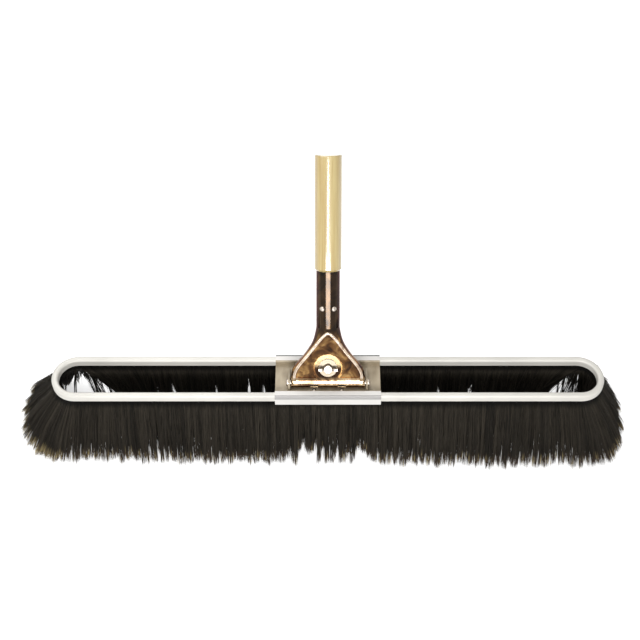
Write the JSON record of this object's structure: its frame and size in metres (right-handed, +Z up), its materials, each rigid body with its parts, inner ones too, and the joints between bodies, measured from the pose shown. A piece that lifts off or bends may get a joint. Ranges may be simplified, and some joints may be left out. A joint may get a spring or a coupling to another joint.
{
  "type": "push broom",
  "caption": "Push broom head with black hair round an open oval steel ring, a bridge plate and a tilting clamp socket with a wooden handle stub.",
  "frame": {"origin": "on the floor under the middle of the whole broom, handle included; the head's own centre line is 42.7 mm towards -Y", "axes": "+X along the broom, +Z up from the floor, +Y to the side that the handle leans to at rest"},
  "size_m": [0.6364, 0.1997, 0.2755],
  "materials": {
    "ring_steel": "satin",
    "bridge_steel": "satin",
    "wire_steel": "satin",
    "bright_steel": "polished",
    "socket_metal": "glossy bronze lacquer on steel",
    "hair": "loose hair",
    "handle_wood": "varnished"
  },
  "bodies": {
    "head": {"ring_channel": "ring_steel", "core_wire_outer": "wire_steel", "core_wire_inner": "wire_steel", "hair_front": "hair", "hair_rear": "hair", "hair_left_end": "hair", "hair_right_end": "hair", "bridge_plate": "bridge_steel", "hinge_strap": "bridge_steel", "strap_rivets": "bright_steel", "hinge_rod": "bright_steel", "rod_caps": "bright_steel"},
    "handle_socket": {"hinge_barrel": "wire_steel", "socket_front_shell": "socket_metal", "socket_rear_shell": "socket_metal", "socket_screws": "bright_steel", "clamp_bolt": "bright_steel", "clamp_washer": "wire_steel", "handle": "handle_wood"},
    "nut": {"wing_nut": "bright_steel"}
  },
  "joints": [
    {"name": "handle_tilt", "type": "hinge", "parent": "head", "child": "handle_socket", "pos_m": [0, -0.05211, 0.086], "axis": [1, 0, 0], "range_deg": [-30, 66]},
    {"name": "wing_nut_turn", "type": "hinge", "parent": "handle_socket", "child": "nut", "pos_m": [0, -0.04164, 0.0994], "axis": [0, -0.788, 0.6157], "continuous": true}
  ]
}
